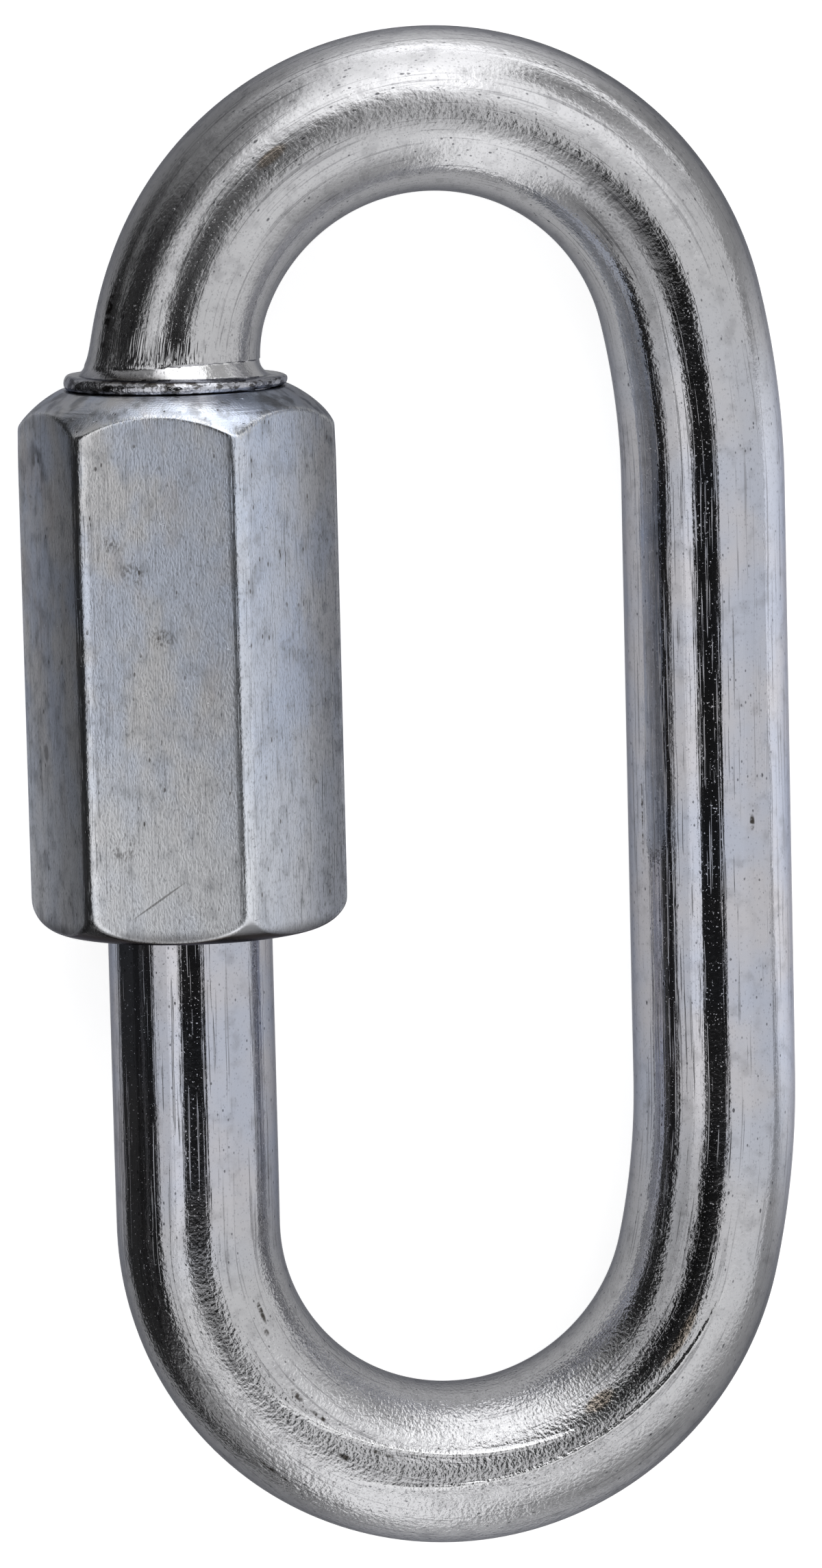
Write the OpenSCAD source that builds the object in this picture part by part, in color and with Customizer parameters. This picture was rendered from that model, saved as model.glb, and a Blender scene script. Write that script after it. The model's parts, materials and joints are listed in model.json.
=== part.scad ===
// Chain quick link: a bent wire ring with one open side, closed by a hexagonal sleeve nut.
// The link lies on a level floor, on its plain leg and on one edge of the nut.
// +Z is up, +Y runs along the legs towards the collared end, and +X points from the nut to the plain leg.
// The origin is on the floor, below the middle of the whole link.

/* [Wire ring] */
// Diameter of the wire
wire_d = 10; // [8:0.1:11.5]
// How much thinner the wire is drawn around the bows
bow_thinning = 0.06; // [0.02:0.01:0.2]
// Length over both bows
link_l = 93.2; // [90:0.1:100]
// Distance between the axes of the two legs
leg_spacing = 32.4; // [29:0.1:38]
// Radius of the gentle shoulder between the plain leg and a bow, at the wire's axis
shoulder_r = 49; // [35:0.5:60]
// Angle that a shoulder turns through, in degrees
shoulder_angle = 13; // [5:0.5:16]

/* [Threaded ends] */
// How far the upset, threaded ends stand proud of the wire
upset = 1; // [0.6:0.05:1.4]
// Length of the thread below the collar
stub_l = 6; // [4:0.1:8]
// Length of the thread on the long arm, without its run-out
arm_thread_l = 13; // [9:0.1:15]
// Chamfer on the two ends of the wire
end_chamfer = 0.8; // [0.3:0.05:1.2]

/* [Collar] */
// Distance from the end of the bow down to the collar's underside
collar_drop = 0.5; // [0.2:0.05:0.7]
// How far the collar stands out from the thread
collar_lip = 0.76; // [0.6:0.02:1]
// Thickness of the collar, with a fully rounded rim
collar_t = 0.8; // [0.6:0.05:1]
// Radius of the hollow flare between the wire and the collar
flare_r = 1.4; // [1:0.05:1.5]

/* [Sleeve nut] */
// Width of the nut across its flats
nut_af = 17; // [16.5:0.1:20]
// Length of the nut
nut_l = 32.7; // [27:0.1:33.4]
// Distance that the nut runs down its thread to open the link, ten turns of the thread
nut_travel = 17.5; // [15:0.05:17.9]
// Radius of the six rounded edges of the nut
edge_r = 1.1; // [0.6:0.05:1.6]
// Clearance between the nut's bore and the thread, on the radius
bore_clearance = 0.1; // [0.05:0.01:0.2]
// Width of the level rim that stands out around the collar on top of the nut
seat_margin = 0.2; // [0.05:0.05:0.4]
// Radius of the turned dome at the top of the nut
dome_r = 7.1; // [6.5:0.1:9]
// Slope of that dome where it leaves the level top, in degrees
dome_slope = 26; // [20:0.5:28]
// Radius of the turned round at the foot of the nut
foot_r = 2.2; // [1.6:0.05:2.6]
// Slope of that round where it leaves the level foot, in degrees
foot_slope = 17; // [10:0.5:25]
// Countersink at the top mouth of the bore
top_sink = 0.3; // [0.1:0.05:0.4]
// Countersink at the bottom mouth of the bore
foot_sink = 0.7; // [0.3:0.05:0.9]
// Lean of the uppermost flat of the nut away from the plain leg, in degrees
nut_turn = 9; // [-25:0.5:25]

/* [Hidden] */
$fn = 96;

// How far one shape runs into the next, so that the two become one solid
lap = 0.2;

// The wire ring, in the plane of the link, with its origin on the axis of the open leg
wire_r = wire_d / 2;
bow_wire_r = (wire_d - bow_thinning) / 2;
crown_r = (leg_spacing - shoulder_r * (1 - cos(shoulder_angle))) / (1 + cos(shoulder_angle));
bow_y = link_l / 2 - bow_wire_r - crown_r;
spine_y = bow_y - (shoulder_r - crown_r) * sin(shoulder_angle);
shoulder_x = leg_spacing - shoulder_r;

// The ends of the wire and the place of the nut along the open leg
thread_r = wire_r + upset;
collar_y = bow_y - collar_drop;
collar_r = thread_r + collar_lip;
flare_sink = 0.15;
stub_y = collar_y - stub_l;
arm_y = collar_y - nut_travel;
nut_foot_y = collar_y - nut_l;

// The nut's six edges, and how far it reaches from its axis in a direction given in degrees from
// straight up, turning towards +X
edge_centre = (nut_af / 2 - edge_r) / cos(30);
nut_reach = edge_centre + edge_r;
function from_edge(direction) = abs(((direction + nut_turn) % 60 + 60) % 60 - 30);
function reach(direction) = edge_centre * cos(from_edge(direction)) + edge_r;
bore_r = thread_r + bore_clearance;
seat_r = collar_r + seat_margin;
round_over = 0.1;
foot_face_r = nut_reach + round_over - foot_r * (1 - sin(foot_slope));
over = 1;

// How the link lies: the plain leg and the lowest edge of the nut both touch the floor
nut_z = reach(180);
tilt = asin((nut_z - wire_r) / leg_spacing);
nut_x = (reach(-90) - wire_r - leg_spacing * cos(tilt)) / 2;

// Turns a shape that stands along Z to lie along the legs
module along_leg() rotate([-90, 0, 0]) children();

// Lays a shape in the plane of the link down on the floor
module as_it_lies() translate([nut_x, 0, nut_z]) rotate([0, tilt, 0]) children();

// An arc of wire around the origin, in the plane of the link
module wire_arc(radius, section_r, from, to)
    rotate_extrude(angle = to - from, start = from)
        translate([radius, 0]) circle(r = section_r);

// One bow: a half round that runs into the plain leg over a gentle shoulder
module bow() {
    crown_start = shoulder_angle - asin(lap / crown_r);
    translate([crown_r, bow_y, 0]) wire_arc(crown_r, bow_wire_r, crown_start, 180);
    translate([shoulder_x, spine_y, 0]) wire_arc(shoulder_r, wire_r, 0, shoulder_angle);
}

// The plain leg, between the two shoulders
module spine()
    translate([leg_spacing, -spine_y, 0])
        along_leg() cylinder(r = wire_r, h = 2 * spine_y);

// The long arm: plain wire that swells to the upset thread
module long_arm() {
    thread_start = arm_y - arm_thread_l;
    bow_join = -bow_y - lap;
    along_leg() rotate_extrude() polygon([
        [0, bow_join],
        [wire_r, bow_join],
        [wire_r, thread_start - upset],
        [thread_r, thread_start],
        [thread_r, arm_y - end_chamfer],
        [thread_r - end_chamfer, arm_y],
        [0, arm_y]
    ]);
}

// The short threaded end below the collar
module stub()
    along_leg() rotate_extrude() polygon([
        [0, stub_y],
        [thread_r - end_chamfer, stub_y],
        [thread_r, stub_y + end_chamfer],
        [thread_r, collar_y],
        [0, collar_y]
    ]);

// The upset collar that stops the nut, with the hollow flare that carries it
module collar() {
    rim_r = collar_t / 2;
    flare_foot_r = wire_r + flare_r - flare_sink;
    along_leg() rotate_extrude() translate([0, collar_y]) {
        square([collar_r - rim_r, collar_t]);
        translate([collar_r - rim_r, rim_r]) circle(r = rim_r);
        translate([0, collar_t]) difference() {
            square([flare_foot_r, flare_r]);
            translate([flare_foot_r, flare_r]) circle(r = flare_r);
        }
    }
}

module link_body()
    color([0.74, 0.75, 0.79]) as_it_lies() {
        bow();
        mirror([0, 1, 0]) bow();
        spine();
        long_arm();
        stub();
        collar();
    }

// Section of the drawn hexagon bar with rounded edges, turned to the way the nut lies
module hexagon_bar()
    rotate(-nut_turn) {
        for (k = [0:2]) rotate(60 * k) square([edge_centre, nut_af], center = true);
        for (k = [0:5]) rotate(60 * k) translate([edge_centre, 0]) circle(r = edge_r);
    }

// Half section of the nut below one turned end: a level face at y = 0 that rounds over to the flats
module turned_end(face_r, round_r, slope) {
    centre_r = face_r - round_r * sin(slope);
    centre_y = -round_r * cos(slope);
    side_y = centre_y - lap;
    translate([0, -nut_l - over]) square([nut_reach + over, nut_l + over + centre_y]);
    translate([0, side_y]) square([centre_r, -side_y]);
    intersection() {
        translate([centre_r, centre_y]) circle(r = round_r);
        translate([0, side_y]) square([nut_reach + over, -side_y]);
    }
}

// Half section of the bore with a countersink at each mouth
module bore_section() {
    foot_mouth_r = bore_r + foot_sink + over;
    top_mouth_r = bore_r + top_sink + over;
    polygon([
        [0, nut_foot_y - over],
        [foot_mouth_r, nut_foot_y - over],
        [bore_r, nut_foot_y + foot_sink],
        [bore_r, collar_y - top_sink],
        [top_mouth_r, collar_y + over],
        [0, collar_y + over]
    ]);
}

// Half section of the nut as it is turned: a domed top, a rounded foot and the bore
module turned_section()
    difference() {
        intersection() {
            translate([0, collar_y]) turned_end(seat_r, dome_r, dome_slope);
            translate([0, nut_foot_y]) mirror([0, 1]) turned_end(foot_face_r, foot_r, foot_slope);
        }
        bore_section();
    }

module sleeve_nut()
    color([0.66, 0.69, 0.74]) translate([nut_x, 0, nut_z]) along_leg() intersection() {
        translate([0, 0, nut_foot_y - over]) linear_extrude(nut_l + 2 * over) hexagon_bar();
        rotate_extrude() turned_section();
    }

link_body();
sleeve_nut();
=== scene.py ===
"""Chain quick link: a bent wire ring closed by a hexagonal sleeve nut, both in blue-white zinc plate."""

import json
import math

import bpy
import numpy as np
from mathutils import Matrix, Vector


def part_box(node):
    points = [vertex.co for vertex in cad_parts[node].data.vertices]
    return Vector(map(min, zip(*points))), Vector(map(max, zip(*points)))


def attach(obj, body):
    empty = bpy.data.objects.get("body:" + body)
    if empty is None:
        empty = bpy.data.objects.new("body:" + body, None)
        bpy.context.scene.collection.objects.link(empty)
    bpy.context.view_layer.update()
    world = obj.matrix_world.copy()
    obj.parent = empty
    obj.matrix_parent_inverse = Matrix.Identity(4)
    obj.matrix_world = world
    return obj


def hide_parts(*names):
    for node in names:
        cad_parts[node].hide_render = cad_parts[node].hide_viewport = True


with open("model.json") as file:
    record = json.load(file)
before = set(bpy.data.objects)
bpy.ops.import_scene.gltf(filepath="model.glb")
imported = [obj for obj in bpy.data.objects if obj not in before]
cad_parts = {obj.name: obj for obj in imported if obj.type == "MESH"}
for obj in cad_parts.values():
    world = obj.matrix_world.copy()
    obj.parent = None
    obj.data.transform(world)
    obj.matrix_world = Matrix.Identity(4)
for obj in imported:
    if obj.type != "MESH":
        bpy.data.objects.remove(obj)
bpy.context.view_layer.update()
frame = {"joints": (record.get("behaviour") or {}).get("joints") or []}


# The wire ring
# One length of round steel rod, bent into an oval with an open side. Both ends are upset and rolled with a
# thread, and the short end has a pressed collar that stops the nut. It is zinc plated after bending.
MM = 0.001
WIRE_R = 5.0 * MM
BOW_THINNING = 0.03 * MM
LEG_SPACING = 32.4 * MM
SHOULDER_R = 49.0 * MM
SHOULDER_ANGLE = math.radians(13)
UPSET = 1.0 * MM
STUB_LENGTH = 6.0 * MM
ARM_THREAD_LENGTH = 13.0 * MM
END_CHAMFER = 0.8 * MM
THREAD_TURNS = 10
THREAD_DEPTH = 0.9 * MM
THREAD_LAND = 0.14
COLLAR_LIP = 0.76 * MM
COLLAR_THICKNESS = 0.8 * MM

nut_low, nut_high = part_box("sleeve_nut")
_, link_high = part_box("link_body")
nut_axis = np.array([(nut_low.x + nut_high.x) / 2, 0, (nut_low.z + nut_high.z) / 2])
nut_travel = frame["joints"][0]["range_m"][1]
pitch = nut_travel / THREAD_TURNS
tilt = math.asin((nut_axis[2] - WIRE_R) / LEG_SPACING)
across = np.array([math.cos(tilt), 0, -math.sin(tilt)])
upwards = np.array([math.sin(tilt), 0, math.cos(tilt)])

crown_r = LEG_SPACING - SHOULDER_R * (1 - math.cos(SHOULDER_ANGLE))
crown_r /= 1 + math.cos(SHOULDER_ANGLE)
bow_y = link_high.y - (WIRE_R - BOW_THINNING) - crown_r
spine_y = bow_y - (SHOULDER_R - crown_r) * math.sin(SHOULDER_ANGLE)
collar_y = nut_high.y
arm_y = collar_y - nut_travel
stub_y = collar_y - STUB_LENGTH
thread_r = WIRE_R + UPSET
collar_r = thread_r + COLLAR_LIP

# The centreline from the long arm's end to the short end: the length of each stretch and the angle it turns
crown_turn = math.pi - SHOULDER_ANGLE
STRETCHES = [
    (arm_y + bow_y, 0),
    (crown_r * crown_turn, crown_turn),
    (SHOULDER_R * SHOULDER_ANGLE, SHOULDER_ANGLE),
    (2 * spine_y, 0),
    (SHOULDER_R * SHOULDER_ANGLE, SHOULDER_ANGLE),
    (crown_r * crown_turn, crown_turn),
    (bow_y - stub_y, 0),
]
knots = np.cumsum([0] + [length for length, _ in STRETCHES])
headings = -math.pi / 2 + np.cumsum([0] + [turn for _, turn in STRETCHES])
wire_length = knots[-1]
collar_s = wire_length - STUB_LENGTH
collar_top_s = collar_s - COLLAR_THICKNESS


def centreline(s):
    """Points of the bent wire's axis in the plane of the ring, and the direction out of the ring at each.

    The heading is linear along each stretch, and each step is a chord of the stretch's circle.
    """
    fine = np.unique(np.concatenate([knots, s]))
    heading = np.interp(fine, knots, headings)
    middle = (heading[1:] + heading[:-1]) / 2
    chord = np.diff(fine) * np.sinc(np.diff(heading) / (2 * math.pi))
    x = np.concatenate([[0], np.cumsum(chord * np.cos(middle))])
    y = arm_y + np.concatenate([[0], np.cumsum(chord * np.sin(middle))])
    axis = np.stack([np.interp(s, fine, x), np.interp(s, fine, y)], -1)
    at = np.interp(s, knots, headings)
    return axis, np.stack([np.sin(at), -np.cos(at)], -1)


def rows(start, stop, step):
    """Evenly spaced values from start to stop, about one step apart."""
    return np.linspace(start, stop, max(2, math.ceil(abs(stop - start) / step) + 1))


def smooth(value, low, high):
    """A soft step from 0 at low to 1 at high: three times the square of the way, less twice its cube."""
    t = np.clip((value - low) / (high - low), 0, 1)
    return t * t * (3 - 2 * t)


def between(value, low, high, outside, inside):
    """1 between low and high, with a soft step at each that reaches some way outside and inside."""
    return smooth(value, low - outside, low + inside) * (1 - smooth(value, high - inside, high + outside))


def thread_height(y, angle):
    """Height from 0 to 1 of a right-hand screw thread around the nut's axis.

    A turn is one pitch along y or one way round, and the height is a triangle wave of the turns, cut off to
    flat crests and roots. The angle runs from the ring's upper side towards the outside of the open leg.
    """
    turn = y / pitch + angle / (2 * math.pi)
    wave = np.abs(2 * (turn - np.floor(turn)) - 1)
    return np.clip((wave - THREAD_LAND) / (1 - 2 * THREAD_LAND), 0, 1)


def skin(name, points, poles):
    """A mesh over a grid of points that wraps round in its second direction.

    With poles, a fan of triangles closes each end. Without them the grid wraps in its first direction too.
    """
    n, m = points.shape[:2]
    index = np.arange(n * m).reshape(n, m)
    beside = np.roll(index, -1, 1)
    if not poles:
        index = np.vstack([index, index[:1]])
        beside = np.vstack([beside, beside[:1]])
    quads = np.stack([index[:-1], beside[:-1], beside[1:], index[1:]], -1).reshape(-1, 4)
    faces = quads.tolist()
    vertices = points.reshape(-1, 3)
    if poles:
        vertices = np.vstack([vertices, points[0].mean(0), points[-1].mean(0)])
        first, last = np.full(m, n * m), np.full(m, n * m + 1)
        faces += np.stack([first, beside[0], index[0]], -1).tolist()
        faces += np.stack([last, index[-1], beside[-1]], -1).tolist()
    mesh = bpy.data.meshes.new(name)
    mesh.from_pydata(vertices.tolist(), [], faces)
    mesh.update()
    piece = bpy.data.objects.new(name, mesh)
    bpy.context.scene.collection.objects.link(piece)
    return piece


def paint(piece, name, values):
    """Stores one number or one vector for each point of the grid as an attribute of the mesh.

    A pole takes the mean of the row beside it.
    """
    vector = values.ndim == 3
    flat = values.reshape(-1, 3) if vector else values.reshape(-1)
    if len(piece.data.vertices) > len(flat):
        flat = np.concatenate([flat, values[:1].mean(1), values[-1:].mean(1)])
    kind, field = ("FLOAT_VECTOR", "vector") if vector else ("FLOAT", "value")
    layer = piece.data.attributes.new(name, kind, "POINT")
    layer.data.foreach_set(field, flat.ravel())


CREASE_ANGLE = math.radians(35)


def crease(piece):
    """Shades the piece smooth, except over edges that are sharper than the crease angle."""
    piece.data.shade_smooth()
    piece.data.set_sharp_from_angle(angle=CREASE_ANGLE)


# Stations along the wire, from the long arm's end to the short end: distance and radius. Towards the collar
# the wire swells slowly, then flares.
WIRE_COLUMNS = 144
PLAIN_STEP = 0.5 * MM
ROWS_PER_PITCH = 14
FINE_STEP = 0.08 * MM
RIM_ROWS = 15
END_ROWS = np.array([0.3, 0.7, 1])
FLARE_RISE = 0.70 * MM
FLARE_REACH = 0.50 * MM
SWELL_RISE = 0.12 * MM
SWELL_REACH = 2.0 * MM
SWELL_LENGTH = 2.5 * SWELL_REACH

thread_step = pitch / ROWS_PER_PITCH
plain_s = ARM_THREAD_LENGTH + UPSET
flare_top_s = collar_top_s - SWELL_LENGTH
rim_r = COLLAR_THICKNESS / 2
flare_s = rows(flare_top_s, collar_top_s, FINE_STEP)
up_flare = collar_top_s - flare_s
flare = FLARE_RISE * np.exp(-up_flare / FLARE_REACH) + SWELL_RISE * np.exp(-up_flare / SWELL_REACH)
rim = np.linspace(-math.pi / 2, math.pi / 2, RIM_ROWS)
run_out_s = rows(ARM_THREAD_LENGTH, plain_s, thread_step)[1:]
end_face = (thread_r - END_CHAMFER) * END_ROWS
stations = [
    (np.zeros(end_face.shape), end_face),
    (rows(0, ARM_THREAD_LENGTH, thread_step)[1:], thread_r),
    (run_out_s, thread_r - (run_out_s - ARM_THREAD_LENGTH)),
    (rows(plain_s, flare_top_s, PLAIN_STEP)[1:-1], WIRE_R),
    (flare_s, WIRE_R + flare),
    (collar_s - rim_r + rim_r * np.sin(rim), collar_r - rim_r + rim_r * np.cos(rim)),
    (rows(collar_s, wire_length, thread_step)[:-1], thread_r),
    (np.full(end_face.shape, wire_length), end_face[::-1]),
]
s = np.concatenate([distance for distance, _ in stations])
radius = np.concatenate([np.broadcast_to(r, distance.shape) for distance, r in stations])
axis, outward = centreline(s)

# The thread is cut into the two ends, and the bows are drawn a little thinner
THREAD_START = 0.2 * MM
THREAD_FULL = 1.4 * MM
BEND_RUN = 5.0 * MM
COLLAR_RUN = 1.0 * MM

angle = np.linspace(0, 2 * math.pi, WIRE_COLUMNS, endpoint=False)[None]
to_end = np.minimum(s, wire_length - s)
threaded = 1 - smooth(s, ARM_THREAD_LENGTH - UPSET, plain_s)
threaded += smooth(s, collar_s + THREAD_START, collar_s + THREAD_FULL)
groove = THREAD_DEPTH * (1 - thread_height(axis[:, 1:], angle)) * threaded[:, None]
bent = smooth(s, knots[1] - BEND_RUN, knots[1] + BEND_RUN)
bent -= smooth(s, knots[2] - BEND_RUN, knots[3] + BEND_RUN)
bent += smooth(s, knots[4] - BEND_RUN, knots[5] + BEND_RUN)
bent -= smooth(s, knots[6] - COLLAR_RUN, knots[6] + COLLAR_RUN)
wire_r = np.maximum(radius[:, None] - groove, np.minimum(radius, WIRE_R)[:, None])
wire_r = np.minimum(wire_r, (thread_r - END_CHAMFER + to_end)[:, None]) - BOW_THINNING * bent[:, None]

# The pressed collar's rim wanders a little. Above it the die leaves a low step that fades out and a facet on
# the inner side of the leg, and a fold on the outer side is only painted shade. The die's edge runs lower on
# the outer side.
RIM_WANDER = 0.06 * MM
RIM_SOFTNESS = 0.1 * MM
DIE_STEP = 0.07 * MM
DIE_EDGE = 0.83 * MM
DIE_EDGE_DROP = 0.5 * MM
DIE_SOFTNESS = 0.12 * MM
DIE_FADE = (1.5 * MM, 5.0 * MM)
FACET_SLOPE = 0.58
FACET_TURN = -0.42
FOLD_TURN = 0.5
FOLD_REACH = 0.3 * MM

above = (collar_top_s - s)[:, None]
collar_share = smooth(-above, -RIM_SOFTNESS, RIM_SOFTNESS) * (s < collar_s - RIM_SOFTNESS / 2)[:, None]
wander = np.sin(3 * angle + 1) + 0.7 * np.sin(5 * angle + 2)
wander = wander + 0.5 * np.sin(11 * angle) + 0.4 * np.sin(17 * angle)
die_edge = DIE_EDGE - DIE_EDGE_DROP * np.sin(angle)
gripped = smooth(above, die_edge, die_edge + DIE_SOFTNESS)
wire_r = wire_r + RIM_WANDER * wander * collar_share + DIE_STEP * gripped * (1 - smooth(above, *DIE_FADE))
facet_r = WIRE_R + SWELL_RISE + FACET_SLOPE * (die_edge - above)
facet_share = smooth(np.cos(angle - FACET_TURN), 0.72, 0.86) * (above > 0) * (above < die_edge)
wire_r = wire_r + facet_share * (facet_r - wire_r)
# The fold is not in the mesh: it is a band of painted shade on the outer side just above the rim.
fold_shade_share = smooth(np.cos(angle - FOLD_TURN), 0.8, 0.97) * np.exp(-((above / FOLD_REACH) ** 2))
fold_shade_share = fold_shade_share * (above > -RIM_SOFTNESS)

# Each section of the wire is laid around the centreline, out of the ring and upwards
plane = np.stack([np.cos(angle) * wire_r, np.sin(angle) * wire_r], -1)
spread = plane[..., 1:] * outward[:, None]
wire_points = nut_axis + plane[..., :1] * upwards
wire_points += (axis[:, None, :1] + spread[..., :1]) * across
wire_points[..., 1] += axis[:, None, 1] + spread[..., 1]
ring = skin("wire_ring", wire_points, poles=True)
crease(ring)

# Where each point lies on the wire before it is bent, in millimetres, and which part of the wire it is on
GRIP_FADE = (1.6 * MM, 2.8 * MM)
GRIP_TURN = 0.2
CROWN_OUTSIDE = 3.0 * MM
CROWN_INSIDE = 17.0 * MM

wire_grid = np.zeros(wire_r.shape)
grip_share = gripped * (1 - smooth(above, *GRIP_FADE))
grip_share = grip_share * (0.3 + 0.7 * smooth(np.cos(angle - GRIP_TURN), 0.6, 0.95))
crown_share = between(s, knots[1], knots[2], CROWN_OUTSIDE, CROWN_INSIDE)
crown_share += between(s, knots[5], knots[6], CROWN_OUTSIDE, CROWN_INSIDE)
paint(ring, "unbent", np.stack([plane[..., 1], plane[..., 0], wire_grid + s[:, None]], -1) / MM)
paint(ring, "bent", wire_grid + bent[:, None])
paint(ring, "crowned", wire_grid + crown_share[:, None])
paint(ring, "gripped", grip_share)
paint(ring, "collar", wire_grid + collar_share)
paint(ring, "facet", facet_share)
paint(ring, "fold", fold_shade_share)


class Shade:
    """One socket of a shader tree. Arithmetic on it adds Math nodes, and node() adds any other node."""

    def __init__(self, tree, socket=None):
        self.tree = tree
        self.socket = socket

    def node(self, kind, settings, inputs, output=0):
        """Adds a node, sets it up, then sets or links its sockets and returns one of its outputs."""
        made = self.tree.nodes.new(kind)
        for name, value in settings.items():
            setattr(made, name, value)
        for name, value in inputs.items():
            named = [socket for socket in made.inputs if socket.enabled and socket.name == name]
            socket = named[0] if named else made.inputs[name]
            if isinstance(value, Shade):
                self.tree.links.new(value.socket, socket)
            else:
                socket.default_value = value
        shown = [socket for socket in made.outputs if socket.enabled]
        named = [socket for socket in shown if socket.name == output]
        return Shade(self.tree, named[0] if named else shown[0])

    def math(self, operation, first, second):
        """One operation on two numbers."""
        return self.node("ShaderNodeMath", {"operation": operation}, {0: first, 1: second})

    def __add__(self, other):
        return self.math("ADD", self, other)

    __radd__ = __add__

    def __sub__(self, other):
        return self.math("SUBTRACT", self, other)

    def __rsub__(self, other):
        return self.math("SUBTRACT", other, self)

    def __mul__(self, other):
        return self.math("MULTIPLY", self, other)

    __rmul__ = __mul__

    def __truediv__(self, other):
        return self.math("DIVIDE", self, other)

    def painted(self, name, output="Fac"):
        """What paint() stored on the mesh under a name, as a number or as a vector."""
        return self.node("ShaderNodeAttribute", {"attribute_name": name}, {}, output)

    def part(self, letter):
        """One of the three numbers of this vector."""
        return self.node("ShaderNodeSeparateXYZ", {}, {"Vector": self}, letter)

    def step(self, low, high):
        """A soft step from 0 at low to 1 at high."""
        limits = {"Value": self, "From Min": low, "From Max": high}
        return self.node("ShaderNodeMapRange", {"interpolation_type": "SMOOTHSTEP"}, limits)

    def within(self, low, high, soft):
        """1 between low and high, falling to 0 over a soft border on both sides."""
        return self.step(low - soft, low + soft) * (1 - self.step(high - soft, high + soft))

    def blend(self, first, second):
        """A colour between two others, with this socket as the share of the second."""
        ends = {"Factor": self, "A": first, "B": second}
        return self.node("ShaderNodeMix", {"data_type": "RGBA"}, ends)

    def stretched(self, factors):
        """This vector with each of its three numbers multiplied by its own factor."""
        return self.node("ShaderNodeVectorMath", {"operation": "MULTIPLY"}, {0: self, 1: factors})

    def noise(self, scale, detail=2.0):
        """Cloudy noise from 0 to 1 over this vector."""
        sizes = {"Vector": self, "Scale": scale, "Detail": detail}
        return self.node("ShaderNodeTexNoise", {}, sizes)

    def near(self, centre, reach):
        """1 around a centre, falling to 0 at a reach that is given for each of the three axes."""
        away = self.node("ShaderNodeVectorMath", {"operation": "SUBTRACT"}, {0: self, 1: centre})
        away = away.stretched([1 / r for r in reach])
        distance = self.node("ShaderNodeVectorMath", {"operation": "LENGTH"}, {0: away}, "Value")
        return 1 - distance.step(0.5, 1)

    def specks(self, scale, share, size):
        """Round spots, 1 inside and 0 outside, in some of the cells of a cell pattern over this vector."""
        cells = {"Vector": self, "Scale": scale, "Randomness": 1.0}
        distance = self.node("ShaderNodeTexVoronoi", {}, cells, "Distance")
        cell_colour = self.node("ShaderNodeTexVoronoi", {}, cells, "Color")
        chance = self.node("ShaderNodeSeparateColor", {}, {"Color": cell_colour})
        return (1 - distance.step(size * 0.5, size)) * (1 - chance.step(share - 0.01, share))


EDGE_TINT = (0.40, 0.41, 0.45, 1)
BUMP_DEPTH = 0.02 * MM


def zinc(name):
    """A new metal material with its shader, and a Shade to build the shader's inputs with."""
    material = bpy.data.materials.new(name)
    material.use_nodes = True
    shader = material.node_tree.nodes["Principled BSDF"]
    shader.inputs["Metallic"].default_value = 1.0
    shader.inputs["Specular Tint"].default_value = EDGE_TINT
    return material, shader, Shade(material.node_tree)


def feed(shader, values):
    """Links each value to the shader's socket of that name."""
    for name, value in values.items():
        value.tree.links.new(value.socket, shader.inputs[name])


# Nicks and brown stains that the wire has picked up: distance along it, angle from its upper side towards
# the outside of the ring in degrees, length and width
NICKS = [
    (39.3, -26, 1.2, 0.20),
    (40.9, -23, 0.6, 0.20),
    (45.5, -13, 0.7, 0.24),
    (47.6, -12, 0.8, 0.18),
    (47.7, 43, 1.4, 0.14),
    (50.5, 3, 0.8, 0.22),
    (52.4, -9, 1.2, 0.16),
    (55.0, -14, 1.0, 0.12),
    (107.1, 19, 0.6, 0.22),
    (107.2, -67, 3.5, 0.09),
    (181.6, 66, 2.4, 0.4),
]
STAINS = [
    (68.1, -20, 1.5, 0.6),
    (74.9, -5, 3.0, 0.4),
    (170.2, 13, 1.3, 0.45),
]


def marks(place, spots):
    """1 inside any of the spots on the wire and 0 elsewhere, over the unbent wire in millimetres."""
    inside = 0
    for distance, turn, length, width in spots:
        lean = math.radians(turn)
        centre = (WIRE_R / MM * math.sin(lean), WIRE_R / MM * math.cos(lean), distance)
        inside = inside + place.near(centre, (width, width, length))
    return inside


# Two fine ridges that the bending die left on the lower bow, in millimetres: the middle of each along the
# wire, its half length, its offset round the wire, how far its ends bow out, and where it starts and stops,
# with the length that it fades over
RIDGES = [
    (66, 13, 0.1, 0.9, 54, 77, 5),
    (58, 16, -1.46, 2.0, 45, 65, 4),
]
RIDGE_HALF_WIDTH = 0.12
RIDGE_SOFTNESS = 0.14


def die_ridges(round_wire, along_wire):
    """1 on the ridges and 0 elsewhere. A ridge follows a parabola over the unbent wire."""
    inside = 0
    for middle, half_length, offset, bow_out, first, last, fade in RIDGES:
        way = (along_wire - middle) / half_length
        aside = round_wire - offset - way * way * bow_out
        line = aside.within(-RIDGE_HALF_WIDTH, RIDGE_HALF_WIDTH, RIDGE_SOFTNESS)
        inside = inside + line * along_wire.within(first, last, fade)
    return inside


# Bright zinc with drawing lines, fine grit and dull patches. The bows are rougher and greyer than the legs;
# the plain leg's ends have painted shade on their inner upper side, the bow by the collar is painted darker.
LEG_WARM = (0.58, 0.57, 0.60, 1)
LEG_BLUE = (0.51, 0.54, 0.63, 1)
BOW_GREY = (0.56, 0.56, 0.575, 1)
DULL_AND_SHADE_GREY = (0.20, 0.20, 0.21, 1)
PIT_BLACK = (0.05, 0.05, 0.06, 1)
DARK_MARK_AND_SHADE_BLACK = (0.06, 0.055, 0.05, 1)
STAIN_BROWN = (0.36, 0.28, 0.20, 1)
HIGHLIGHT_ZINC = (0.86, 0.86, 0.87, 1)

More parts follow.
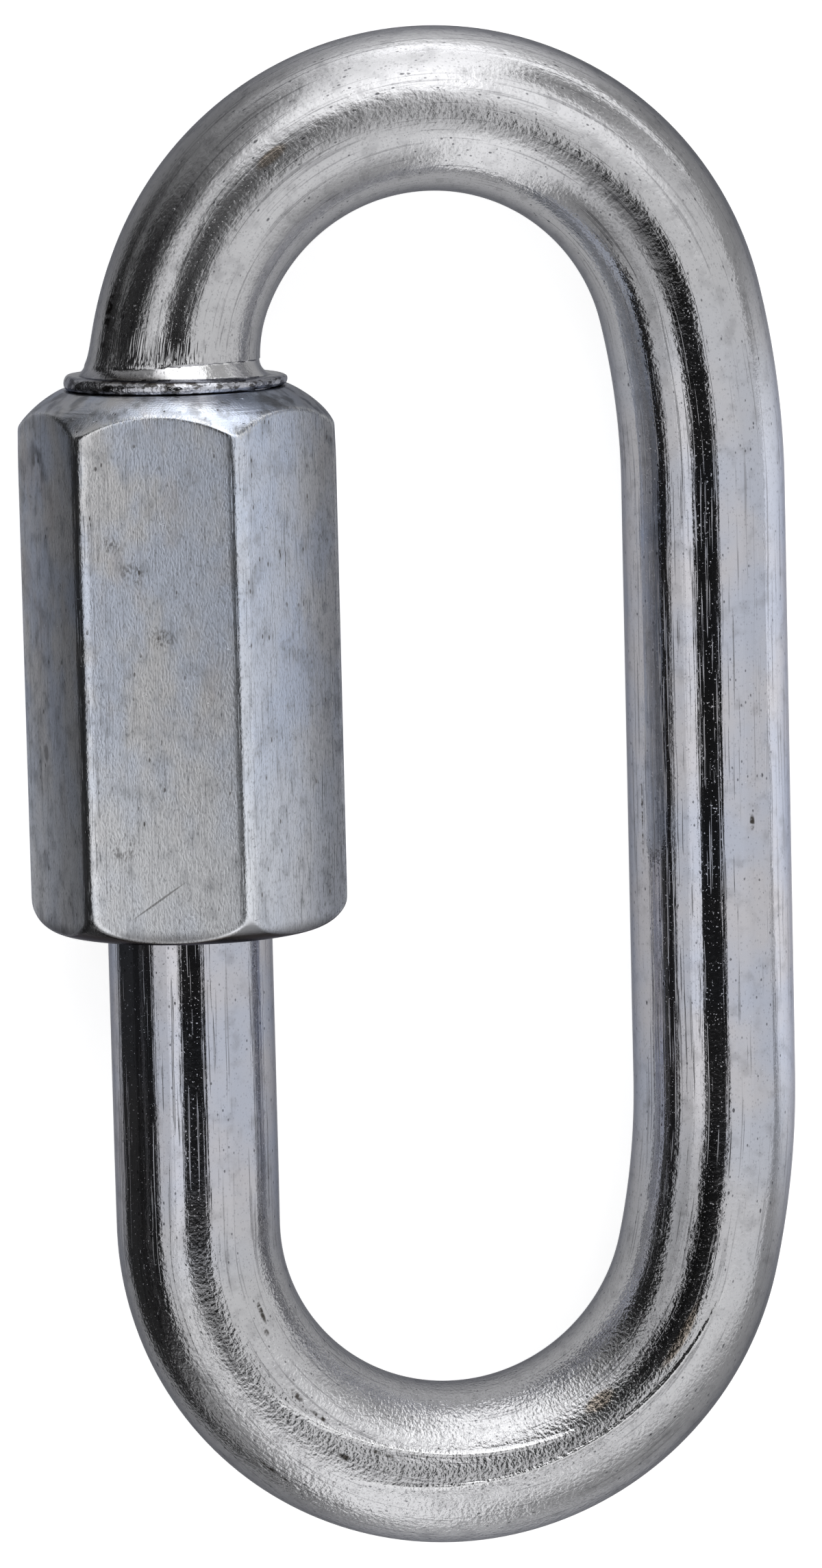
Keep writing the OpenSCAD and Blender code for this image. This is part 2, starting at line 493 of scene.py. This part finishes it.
wire_zinc, wire_shader, wire_nodes = zinc("zinc_wire")
wire_place = wire_nodes.painted("unbent", "Vector")
on_bow = wire_nodes.painted("bent")
on_crown = wire_nodes.painted("crowned")
on_grip = wire_nodes.painted("gripped")
on_collar = wire_nodes.painted("collar")
on_facet = wire_nodes.painted("facet")
in_fold_shade = wire_nodes.painted("fold")
round_wire = wire_place.part("X")
upper_side = wire_place.part("Y").step(0.5, 2)
along_wire = wire_place.part("Z")
low_bow = on_crown * (1 - along_wire.step(85, 105))
plain_leg_ends = along_wire.within(70, 87, 5) + along_wire.within(137, 152, 5)
ridge = die_ridges(round_wire, along_wire) * upper_side

peel = wire_place.noise(4.5)
grit = wire_place.noise(8.0).step(0.67, 0.79)
wave = wire_place.noise(1.1)
streak = wire_place.stretched((4.0, 4.0, 0.07)).noise(1.0, 3.0)
hair = wire_place.stretched((6.0, 6.0, 0.12)).noise(1.0).step(0.58, 0.70)
wire_cloud = wire_place.noise(0.16, 4.0)
wire_blotch = wire_place.noise(0.9, 3.0)
pits = wire_place.stretched((1.0, 1.0, 0.7)).specks(5.5, 0.55, 0.34)
dots = wire_place.stretched((1.0, 1.0, 0.6)).specks(3.0, 0.22, 0.22)
dents = wire_place.stretched((1.0, 1.0, 0.5)).specks(1.3, 0.12, 0.12)
grip_line = wire_place.stretched((12.0, 12.0, 0.03)).noise(1.0, 0.0)
burr = wire_place.stretched((1.0, 1.0, 2.0)).noise(1.6, 3.0)

leg_colour = wire_cloud.step(0.35, 0.65).blend(LEG_WARM, LEG_BLUE)
wire_colour = on_bow.blend(leg_colour, BOW_GREY)
dull = wire_blotch.step(0.5, 0.75) * 0.3 + (1 - peel.step(0.30, 0.42)) * (0.1 + on_bow * 0.12) + hair * 0.5
# Painted shade at the plain leg's ends stands for their dark reflections; the bow by the collar is also
# painted darker.
painted_dark_bands = round_wire.within(-3.0, -0.8, 0.6) * plain_leg_ends * 0.6
painted_dark_bands = painted_dark_bands + round_wire.within(2.8, 5.5, 0.6) * along_wire.within(163, 180, 5) * 0.5
wire_colour = (dull + painted_dark_bands * upper_side).blend(wire_colour, DULL_AND_SHADE_GREY)
wire_colour = (pits * 0.22 + dots * 0.7 + dents * 0.8).blend(wire_colour, PIT_BLACK)
# Dark patches on the collar's rim and painted shade in the fold above it; the nicks are dark marks.
rim_patches_and_fold_shade = burr.step(0.50, 0.62) * on_collar * 0.85 + in_fold_shade * 0.9
nicked = marks(wire_place, NICKS) * burr.step(0.35, 0.6)
wire_colour = (rim_patches_and_fold_shade + nicked).blend(wire_colour, DARK_MARK_AND_SHADE_BLACK)
wire_colour = (marks(wire_place, STAINS) * 0.6).blend(wire_colour, STAIN_BROWN)
# Painted highlight: the die ridges and the facet above the collar are painted bright.
wire_colour = (ridge * 0.6 + on_facet * 0.8).blend(wire_colour, HIGHLIGHT_ZINC)

wire_roughness = 0.075 + on_crown * 0.07 + on_bow * 0.02 + low_bow * 0.025
wire_roughness = wire_roughness + (streak - 0.5) * 0.08 + (wire_blotch - 0.5) * 0.08
wire_roughness = wire_roughness + along_wire.within(160, 183, 6) * 0.10

wire_relief = (peel - 0.5) * (0.25 + on_bow * 0.6 + low_bow * 2.1) + (wave - 0.5) * (0.4 + on_bow)
wire_relief = wire_relief + ridge * 3.5 + (streak - 0.5) * (0.6 - on_bow * 0.4)
wire_relief = wire_relief - hair * (0.4 - on_bow * 0.25) - dots * 0.15 - dents * 0.3
wire_relief = wire_relief + grit * (0.6 + on_bow * 0.4)
wire_relief = wire_relief * (1 - on_grip * 0.8) + (grip_line - 0.5) * on_grip * 1.7
wire_relief = wire_relief + burr * on_collar * 4.0
wire_bump = wire_nodes.node("ShaderNodeBump", {}, {"Height": wire_relief, "Distance": BUMP_DEPTH})
feed(wire_shader, {"Base Color": wire_colour, "Roughness": wire_roughness, "Normal": wire_bump})
ring.data.materials.append(wire_zinc)
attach(ring, "link")
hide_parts("link_body")


# The sleeve nut
# A length of drawn hexagon bar, turned to a dome at the top and a round at the foot, bored and threaded.
# It screws up against the collar and closes the ring. Its zinc plate is satin, and bluer than the wire's.
ACROSS_FLATS = 17.0 * MM
EDGE_R = 0.95 * MM
EDGE_GROWTH = 0.3 * MM
EDGE_GROWTH_DEPTH = (2.0 * MM, 4.5 * MM)
NUT_TURN = math.radians(9)
SEAT_MARGIN = 0.2 * MM
DOME_R = 7.1 * MM
DOME_SLOPE = math.radians(26)
FOOT_R = 2.2 * MM
FOOT_SLOPE = math.radians(17)
ROUND_OVER = 0.1 * MM
TOP_SINK = 0.3 * MM
FOOT_SINK = 0.7 * MM
BORE_CLEARANCE = 0.1 * MM
FLAT_CROWN = 0.06 * MM
EDGE_SOFTNESS = 0.05 * MM
FOOT_SOFTNESS = 0.05 * MM
FOOT_HEIGHT = 5.0 * MM
COLUMNS_PER_EDGE = 40
SIDE_STEP = 0.9 * MM
BORE_ROWS_PER_PITCH = 10
CLEAR_OF_BAR = 1.0 * MM

foot_y = nut_low.y
half_flat = math.pi / 6
edge_centre = (ACROSS_FLATS / 2 - EDGE_R) / math.cos(half_flat)
nut_reach = edge_centre + EDGE_R
bore_r = thread_r + BORE_CLEARANCE
seat_r = collar_r + SEAT_MARGIN
foot_face_r = nut_reach + ROUND_OVER - FOOT_R * (1 - math.sin(FOOT_SLOPE))

# Columns crowd towards the six edges, and each knows how far round it is from its edge. The flats are a
# little crowned, as drawn bar is.
crowd = np.linspace(-1, 1, COLUMNS_PER_EDGE, endpoint=False)
from_edge = np.tile(half_flat * (0.2 * crowd + 0.8 * crowd**3), 6)
edge_angle = NUT_TURN + half_flat + np.repeat(np.arange(6) * math.pi / 3, COLUMNS_PER_EDGE)
nut_angle = edge_angle + from_edge
to_flat = half_flat - np.abs(from_edge)
crown = FLAT_CROWN * (1 - (np.tan(to_flat) / math.tan(half_flat)) ** 2)
flat_reach = (ACROSS_FLATS / 2 + crown) / np.cos(to_flat)


def turned_round(face_r, round_r, slope, reach):
    """Radius, and depth below a level face, of an arc that leaves the face at a slope and runs to a reach.

    The radius goes with the sine of the arc's lean, and the depth with the fall of its cosine.
    """
    centre_r = face_r - round_r * math.sin(slope)
    last = math.asin(min(1, (reach - centre_r) / round_r))
    lean = rows(slope, last, FINE_STEP / round_r)
    return centre_r + round_r * np.sin(lean), round_r * (math.cos(slope) - np.cos(lean))


# The section of the nut, from the top mouth of the bore over the dome, down the side and up through the bore
dome_r, dome_depth = turned_round(seat_r, DOME_R, DOME_SLOPE, nut_reach + 3 * ROUND_OVER)
foot_r, foot_depth = turned_round(foot_face_r, FOOT_R, FOOT_SLOPE, nut_reach + ROUND_OVER)
side_y = rows(collar_y - dome_depth[-1], foot_y + foot_depth[-1], SIDE_STEP)[1:-1]
bore_y = rows(foot_y, collar_y, pitch / BORE_ROWS_PER_PITCH)[1:-1]
section = [
    (np.linspace(bore_r + TOP_SINK, seat_r, 3)[:-1], collar_y),
    (dome_r, collar_y - dome_depth),
    (np.full(side_y.shape, nut_reach + CLEAR_OF_BAR), side_y),
    (foot_r[::-1], foot_y + foot_depth[::-1]),
    (np.linspace(foot_face_r, bore_r + FOOT_SINK, 4)[1:], foot_y),
    (np.zeros(bore_y.shape), bore_y),
]
turned_r = np.concatenate([r for r, _ in section])[:, None]
nut_y = np.concatenate([np.broadcast_to(y, r.shape) for r, y in section])[:, None]
outside = turned_r > 0

# The edges of the bar grow rounder towards the dome, and the foot of each flat is softened
edge_r = EDGE_R + EDGE_GROWTH * (1 - smooth(collar_y - nut_y, *EDGE_GROWTH_DEPTH))
centre = (ACROSS_FLATS / 2 - edge_r) / math.cos(half_flat)
half_chord = np.sqrt(np.maximum(edge_r**2 - (centre * np.sin(from_edge)) ** 2, 0))
edge_reach = centre * np.cos(from_edge) + half_chord
hexagon = np.where(centre * np.sin(np.abs(from_edge)) < edge_r / 2, edge_reach, flat_reach)
gap = np.abs(turned_r - hexagon)
mid_flat = smooth(np.abs(from_edge), math.radians(6), math.radians(20))
softness = EDGE_SOFTNESS + FOOT_SOFTNESS * mid_flat * (nut_y < foot_y + FOOT_HEIGHT)
outer_r = np.minimum(turned_r, hexagon) - softness * np.log1p(np.exp(-gap / softness))
inner_r = bore_r - THREAD_DEPTH * (1 - thread_height(nut_y, nut_angle[None] + tilt))
inner_r = np.maximum(inner_r, bore_r + FOOT_SINK - (nut_y - foot_y))
inner_r = np.maximum(inner_r, bore_r + TOP_SINK - (collar_y - nut_y))
nut_r = np.where(outside, outer_r, inner_r)
nut_grid = np.zeros(nut_r.shape)
nut_points = np.stack([-np.sin(nut_angle) * nut_r, nut_grid + nut_y, np.cos(nut_angle) * nut_r], -1)
nut = skin("sleeve_nut_turned", nut_points + nut_axis, poles=False)
crease(nut)

# Which points lie on the drawn flats, how near an edge is, and the way along the section in millimetres
FLAT_BORDER = 0.1 * MM
ARCH_WIDTH = 0.16 * MM
WORN_WIDTH = 0.5 * MM

on_flat = smooth(turned_r - hexagon, -FLAT_BORDER, FLAT_BORDER) * outside
near_arch = np.exp(-((gap / ARCH_WIDTH) ** 2)) * outside
near_edge = np.exp(-((from_edge * nut_reach / WORN_WIDTH) ** 2))[None] * on_flat
inward = np.diff(nut_r.min(1), prepend=nut_r[0].min())
downward = np.diff(nut_y[:, 0], prepend=nut_y[0, 0])
paint(nut, "flat", on_flat)
paint(nut, "edge", np.maximum(near_arch, near_edge))
paint(nut, "arch", near_arch * (nut_y > 0))
paint(nut, "section", nut_grid + np.cumsum(np.hypot(inward, downward))[:, None] / MM)

# Smudges and a long scratch on the front flat, and a stain and a spot on the left one, in millimetres
SMUDGES = [
    (-16.8, 14.9, 17.2),
    (-15.2, 11.1, 17.5),
    (-17.8, -1.5, 17.0),
    (-18.1, 16.8, 17.0),
]
SMUDGE_REACH = (1.0, 0.9, 1.0)
SCRATCH = (-15.7, -4.6, 17.4)
SCRATCH_REACH = (2.4, 0.08, 2.0)
SCRATCH_LEAN = math.radians(35)
SIDE_STAIN = (-22.1, 21.2, 11.1)
SIDE_STAIN_REACH = (1.2, 2.4, 1.3)
SIDE_SPOT = (-22.1, 3.7, 11.1)
SIDE_SPOT_REACH = (0.4, 0.7, 0.5)

# Satin zinc, mottled from warm to blue, with fine lines along the drawn flats and round the turned ends.
# The flat beside the ring is bluest; painted light makes the foot palest and the arches under the dome
# bright.
SATIN_WARM = (0.72, 0.72, 0.735, 1)
SATIN_BLUE = (0.63, 0.68, 0.79, 1)
TARNISH = (0.58, 0.55, 0.54, 1)
BLUE_STRIP = (0.62, 0.70, 0.86, 1)
PAINTED_LIGHT_PALE = (0.87, 0.89, 0.93, 1)
MOTTLE_AND_SHADE_GREY = (0.24, 0.25, 0.27, 1)
GRIME_AND_FOOT_BLACK = (0.09, 0.08, 0.075, 1)
ARCH_HIGHLIGHT = (0.88, 0.89, 0.90, 1)

nut_zinc, nut_shader, nut_nodes = zinc("zinc_nut")
nut_place = nut_nodes.node("ShaderNodeTexCoord", {}, {}, "Object").stretched((1 / MM, 1 / MM, 1 / MM))
drawn = nut_nodes.painted("flat")
worn = nut_nodes.painted("edge")
on_arch = nut_nodes.painted("arch")
along_section = nut_nodes.painted("section")
across_nut = nut_place.part("X")
along_nut = nut_place.part("Y")
beside_ring = across_nut.step(-11, -6)

grain = nut_place.stretched((1.0, 0.45, 1.0)).noise(9.0, 3.0)
drawn_line = nut_place.stretched((9.0, 0.5, 9.0)).noise(1.0)
nut_cloud = nut_place.stretched((1.0, 0.6, 1.0)).noise(0.3, 4.0)
warmth = nut_place.stretched((1.0, 0.5, 1.0)).noise(0.45, 3.0)
nut_blotch = nut_place.stretched((1.0, 0.7, 1.0)).noise(1.0, 5.0)
flecks = nut_place.stretched((1.0, 0.4, 1.0)).specks(2.6, 0.5, 0.2) * nut_blotch.step(0.45, 0.6)
scored = nut_place.stretched((11.0, 0.22, 11.0)).noise(1.0).step(0.60, 0.68) * drawn
ticks = nut_place.stretched((0.5, 1.6, 0.5)).specks(1.6, 0.12, 0.12)
lathe = {"W": along_section, "Scale": 6.0}
lathe_line = nut_nodes.node("ShaderNodeTexNoise", {"noise_dimensions": "1D"}, lathe)

nut_colour = nut_cloud.step(0.38, 0.62).blend(SATIN_WARM, SATIN_BLUE)
nut_colour = (warmth.step(0.52, 0.7) * 0.5).blend(nut_colour, TARNISH)
nut_colour = (across_nut.within(-11, -7, 2) * 0.6).blend(nut_colour, BLUE_STRIP)
# Painted light: the nut is paler towards its foot.
nut_colour = ((1 - along_nut.step(-3, 9)) * 0.6).blend(nut_colour, PAINTED_LIGHT_PALE)
mottle_and_shade = nut_blotch.step(0.48, 0.72) * 0.35 + grain.step(0.5, 0.72) * drawn * 0.4
# Painted shade: the flats are painted darker on their part nearest the ring.
mottle_and_shade = mottle_and_shade + across_nut.step(-7.4, -4.8) * drawn * 0.5
lined = drawn_line.step(0.57, 0.70) * drawn * (0.16 + beside_ring * 0.35) + scored * 0.3
# The dome is dull in blotches, with painted shade on its side towards the ring.
dome_dull_and_shade = 0.05 + beside_ring * 0.45 + nut_blotch.step(0.45, 0.6) * 0.35
dome_dull_and_shade = (1 - drawn) * along_nut.step(10, 18) * dome_dull_and_shade
nut_colour = (mottle_and_shade + lined + dome_dull_and_shade).blend(nut_colour, MOTTLE_AND_SHADE_GREY)
# The turned foot and the lowest band of the nut are painted darker.
foot_darkening = (1 - along_nut.step(-5.6, -4.6)) * (1 - drawn) * 0.5 + (1 - along_nut.step(-7.1, -6.3)) * 0.65
smudged = sum(nut_place.near(spot, SMUDGE_REACH) for spot in SMUDGES)
smudged = smudged * nut_blotch.step(0.42, 0.58) * grain.step(0.42, 0.58) * 0.5
stained = nut_place.near(SIDE_STAIN, SIDE_STAIN_REACH) * nut_blotch.step(0.4, 0.6)
stained = stained + nut_place.near(SIDE_SPOT, SIDE_SPOT_REACH)
leaning = {"Vector": nut_place, "Center": SCRATCH, "Angle": -SCRATCH_LEAN}
scratch = nut_nodes.node("ShaderNodeVectorRotate", {"rotation_type": "Z_AXIS"}, leaning)
scratch = scratch.near(SCRATCH, SCRATCH_REACH)
grime_and_foot_darkening = flecks * 0.8 + smudged + stained * 0.5 + foot_darkening + scratch * 0.6
nut_colour = grime_and_foot_darkening.blend(nut_colour, GRIME_AND_FOOT_BLACK)
# Painted highlight along the arches under the dome.
nut_colour = (on_arch * grain.step(0.4, 0.6) * 0.7).blend(nut_colour, ARCH_HIGHLIGHT)

satin = 0.33 + (drawn_line - 0.5) * 0.06 + (nut_blotch - 0.5) * 0.2
nut_roughness = (satin * drawn + (1 - drawn) * 0.25) * (1 - worn) + worn * 0.14

nut_relief = (grain - 0.5) * 0.7 + (drawn_line - 0.5) * drawn * (0.06 + beside_ring * 0.4) - flecks * 0.6
nut_relief = nut_relief + (lathe_line - 0.5) * (1 - drawn) * 0.4 - ticks * 1.5 - scored * 0.4
nut_bump = nut_nodes.node("ShaderNodeBump", {}, {"Height": nut_relief, "Distance": BUMP_DEPTH})
feed(nut_shader, {"Base Color": nut_colour, "Roughness": nut_roughness, "Normal": nut_bump})
nut.data.materials.append(nut_zinc)
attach(nut, "nut")
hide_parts("sleeve_nut")


# The studio
# A pale floor under soft light from all round, with a dark panel overhead beside the camera and a dark wall
# to the left, which the polished metal mirrors as its black bands. What it mirrors of the ground is a grey
# sheet, which the camera doesn't see.
FLOOR_HALF = 3.0
FLOOR_GAP = 0.05 * MM
FLOOR_GLOW = 0.65
SHEET_GLOW = 0.35


def ground(name, z):
    """A large level square at a height, facing up, with a new matt material on it."""
    corners = np.array([(-1, -1), (1, -1), (1, 1), (-1, 1)]) * FLOOR_HALF
    mesh = bpy.data.meshes.new(name)
    mesh.from_pydata(np.column_stack([corners, np.full(4, z)]).tolist(), [], [(0, 1, 2, 3)])
    piece = bpy.data.objects.new(name, mesh)
    bpy.context.scene.collection.objects.link(piece)
    material = bpy.data.materials.new(name)
    material.use_nodes = True
    mesh.materials.append(material)
    shader = material.node_tree.nodes["Principled BSDF"]
    shader.inputs["Roughness"].default_value = 0.9
    shader.inputs["Specular IOR Level"].default_value = 0.0
    return piece, shader


floor, floor_shader = ground("pale_floor", -FLOOR_GAP)
floor_shader.inputs["Base Color"].default_value = (0.9, 0.9, 0.9, 1)
floor_shader.inputs["Emission Color"].default_value = (1, 1, 1, 1)
floor_shader.inputs["Emission Strength"].default_value = FLOOR_GLOW
floor.visible_glossy = False
sheet, sheet_shader = ground("grey_sheet", -2 * FLOOR_GAP)
sheet.visible_camera = False
sheet.visible_diffuse = False
sheet.visible_shadow = False

# The sheet's greys, which it also glows with, are painted light and shade of the ground: brighter beside the
# plain leg and beyond both bows, and dark to the left of the nut. Its bounds are in millimetres.
sheet_nodes = Shade(sheet_shader.id_data)
sheet_place = sheet_nodes.node("ShaderNodeTexCoord", {}, {}, "Object")
sheet_x = sheet_place.part("X") / MM
sheet_y = sheet_place.part("Y") / MM
beside_legs = sheet_y.within(-28, 28, 10)
ground_light_and_shade = 0.25 + beside_legs * 0.15 + beside_legs * sheet_x.step(10, 30) * 0.35
ground_light_and_shade = ground_light_and_shade + sheet_y.step(60, 110) * sheet_x.within(-40, 150, 25)
ground_light_and_shade = ground_light_and_shade + sheet_y.step(44, 60) * sheet_x.within(-12, 22, 8) * 0.35
ground_light_and_shade = ground_light_and_shade + (1 - sheet_y.step(-60, -44)) * sheet_x.within(-8, 25, 8) * 0.2
lit = sheet_nodes.math("MAXIMUM", sheet_x.step(-37, -31), sheet_y.step(50, 90))
ground_light_and_shade = 0.02 + lit * ground_light_and_shade
feed(sheet_shader, {"Base Color": ground_light_and_shade, "Emission Color": ground_light_and_shade})
sheet_shader.inputs["Emission Strength"].default_value = SHEET_GLOW

# The light from each direction, in degrees: around the legs from straight up towards the plain leg, along
# the legs towards the collared end, and aside towards the plain leg
studio = bpy.data.worlds.new("studio")
studio.use_nodes = True
bpy.context.scene.world = studio
backdrop = studio.node_tree.nodes["Background"]
sky_nodes = Shade(studio.node_tree)
direction = sky_nodes.node("ShaderNodeTexCoord", {}, {}, "Generated")
x, y, z = [direction.part(letter) for letter in "XYZ"]
degrees = math.degrees(1)
around = sky_nodes.math("ARCTAN2", x, z) * degrees
along = sky_nodes.math("ARCSINE", y, 0) * degrees
aside = sky_nodes.math("ARCSINE", x, 0) * degrees
rise = sky_nodes.math("MAXIMUM", along, 0) * 0.6
left_wall = (around - rise).within(-120, -56, 4) * along.within(-42, 40, 12)
left_slit = around.within(-77, -74, 2)
overhead = around.within(-19, 15, 2) * along.within(-15, 26, 5)
left_box = around.within(-56, -17, 3) * along.within(-40, 30, 12)
left_tube = around.within(-34, -17, 4) * along.within(-40, 30, 12)
right_high = around.within(13, 50, 5) * along.within(-50, 50, 12)
right_low = around.within(50, 100, 5) * along.within(-32, 32, 12)
far_strip = aside.within(-16, 18, 7) * along.within(28, 100, 6)
far_low = aside.within(4, 28, 6) * along.within(55, 100, 6)
far_right = around.within(10, 50, 6) * along.within(15, 60, 10)
near_strip = aside.within(-14, 14, 6) * along.within(-95, -30, 8)
near_right = around.within(20, 75, 8) * along.within(-55, -18, 8)
far = sky_nodes.math("MAXIMUM", far_strip, far_low)
light = 0.4 + right_high * 0.45 + right_low * 0.4 + left_box * 0.35 + left_tube * 0.3
light = light + far * 1.2 + near_strip * 0.9 + far_right * 0.5 + near_right * 0.15
light = light * (1 - left_wall * (0.96 - left_slit * 0.2)) * (1 - overhead * 0.97)
seen = sky_nodes.node("ShaderNodeLightPath", {}, {}, "Is Camera Ray")
glow = light * (1 - seen) + seen
backdrop.inputs["Color"].default_value = (1, 1, 1, 1)
feed(backdrop, {"Strength": glow})

# The camera looks down on the ring, from a little to the nut's side and the collar's end
CAMERA_PLACE = Vector((-21.6, 59.3, 452.6)) * MM
VIEW_BACK = Vector((-0.0479, 0.1305, 0.9903))
VIEW_UP = Vector((0.0307, 0.9912, -0.1292))
LENS = 169.4
SENSOR_WIDTH = 36
NEAREST = 0.01

camera = bpy.data.objects.new("camera", bpy.data.cameras.new("camera"))
camera.data.lens = LENS
camera.data.sensor_width = SENSOR_WIDTH
camera.data.clip_start = NEAREST
bpy.context.scene.collection.objects.link(camera)
view_right = VIEW_UP.cross(VIEW_BACK).normalized()
view_up = VIEW_BACK.cross(view_right).normalized()
facing = Matrix((view_right, view_up, VIEW_BACK.normalized())).transposed()
camera.matrix_world = Matrix.Translation(CAMERA_PLACE) @ facing.to_4x4()
bpy.context.scene.camera = camera
bpy.context.scene.view_settings.view_transform = "Standard"
